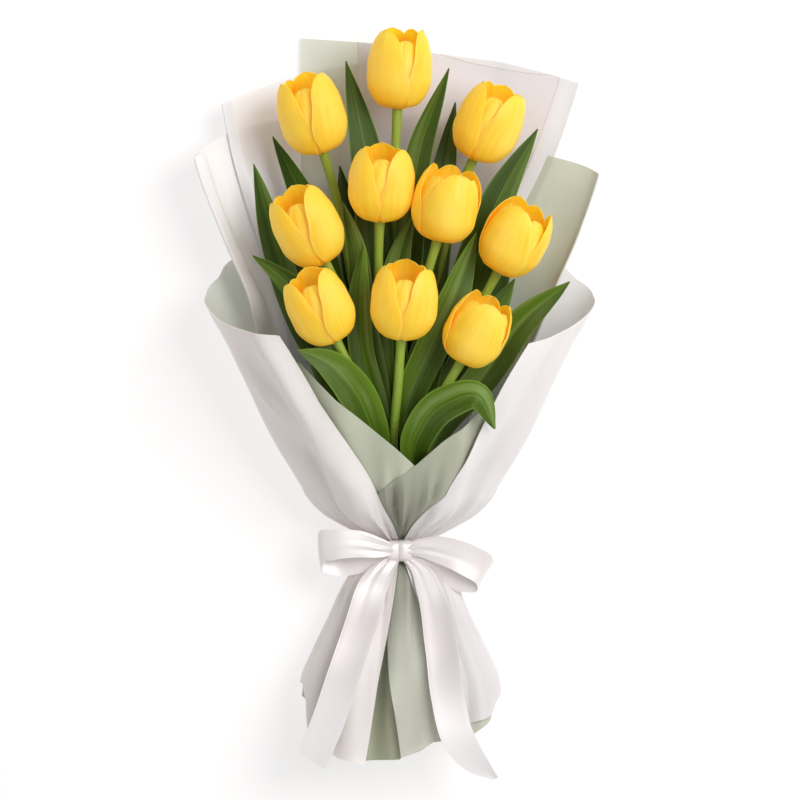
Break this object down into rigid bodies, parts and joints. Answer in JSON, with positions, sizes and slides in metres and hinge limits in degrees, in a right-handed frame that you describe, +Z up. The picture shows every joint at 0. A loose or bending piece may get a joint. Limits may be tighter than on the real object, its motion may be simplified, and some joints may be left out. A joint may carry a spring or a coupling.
{
  "type": "bunch of tulips",
  "caption": "Wrapped bunch of cut tulips with leaves, in layered white and sage paper tied with a satin bow, lying on its back.",
  "frame": {"origin": "middle of the underside, on the surface that the bunch lies on", "axes": "+Y from the cut ends towards the flowers, +Z up from the surface"},
  "size_m": [0.302, 0.5674, 0.1308],
  "materials": {
    "petals": "soft waxy petals, warm yellow with deeper veins",
    "greens": "smooth leaves and stems with parallel veins and a slight bloom",
    "white_paper": "pearl white wrapping paper",
    "sage_paper": "matte sage-green wrapping paper",
    "ribbon": "white satin"
  },
  "bodies": {
    "root": {"bloom_01": "petals", "bloom_02": "petals", "bloom_03": "petals", "bloom_04": "petals", "bloom_05": "petals", "bloom_06": "petals", "bloom_07": "petals", "bloom_08": "petals", "bloom_09": "petals", "bloom_10": "petals", "stem_01": "greens", "stem_02": "greens", "stem_03": "greens", "stem_04": "greens", "stem_05": "greens", "stem_06": "greens", "stem_07": "greens", "stem_08": "greens", "stem_09": "greens", "stem_10": "greens", "wrap_back_white": "white_paper", "wrap_back_sage": "sage_paper", "wrap_left_white": "white_paper", "wrap_left_outer": "white_paper", "wrap_right_sage": "sage_paper", "wrap_front_left_liner": "sage_paper", "wrap_front_right_liner": "sage_paper", "wrap_front_right": "white_paper", "wrap_front_left": "white_paper", "ribbon_band": "ribbon", "ribbon_bow": "ribbon"}
  },
  "joints": []
}
